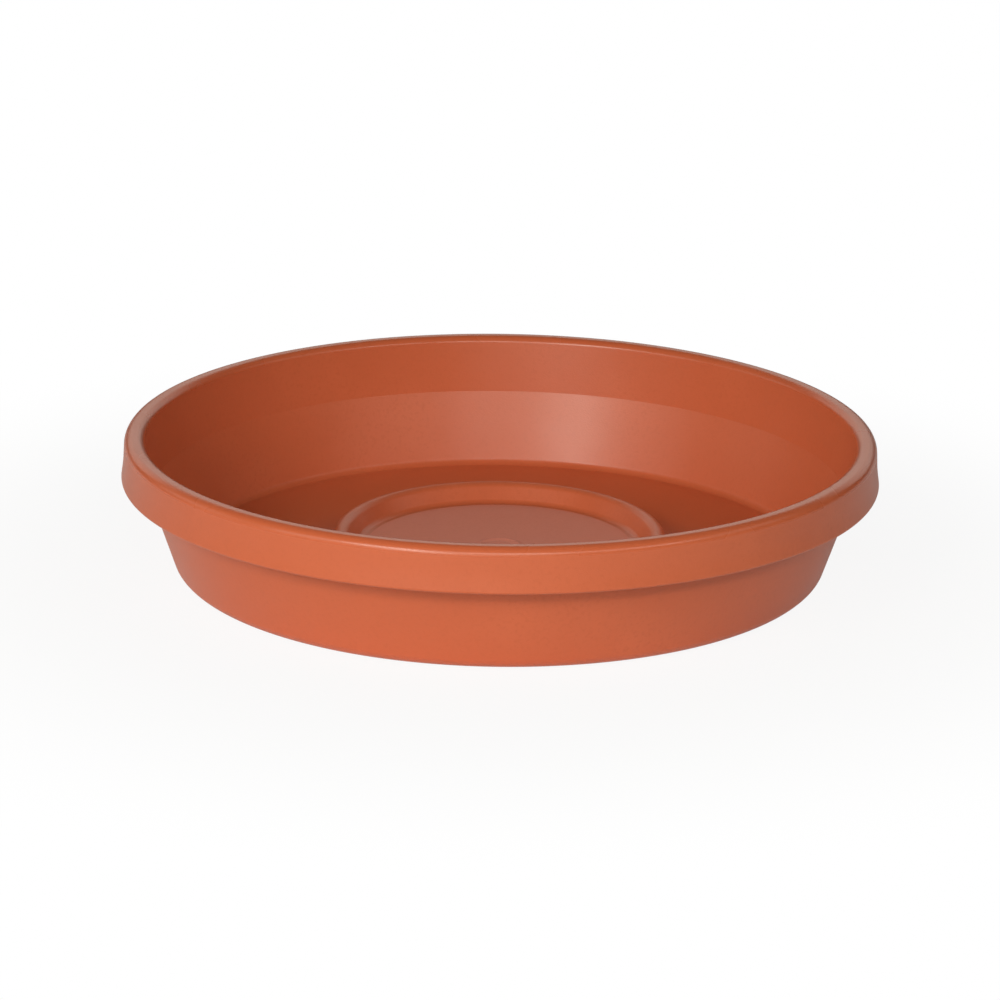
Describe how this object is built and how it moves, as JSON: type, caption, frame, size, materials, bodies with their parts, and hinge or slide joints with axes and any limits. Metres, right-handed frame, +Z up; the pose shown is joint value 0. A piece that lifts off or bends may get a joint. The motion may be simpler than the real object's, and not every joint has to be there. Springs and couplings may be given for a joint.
{
  "type": "plant saucer",
  "caption": "Round moulded plastic plant saucer with a flared wall, a hanging collar at the rim, and a raised ring that holds the pot above the run-off water.",
  "frame": {"origin": "middle of the underside, on the ground that the saucer stands on", "axes": "+Z up along the axis of the round, out of the mouth"},
  "size_m": [0.4054, 0.4054, 0.0733],
  "materials": {
    "terracotta_plastic": "satin"
  },
  "bodies": {
    "root": {"saucer": "terracotta_plastic"}
  },
  "joints": []
}
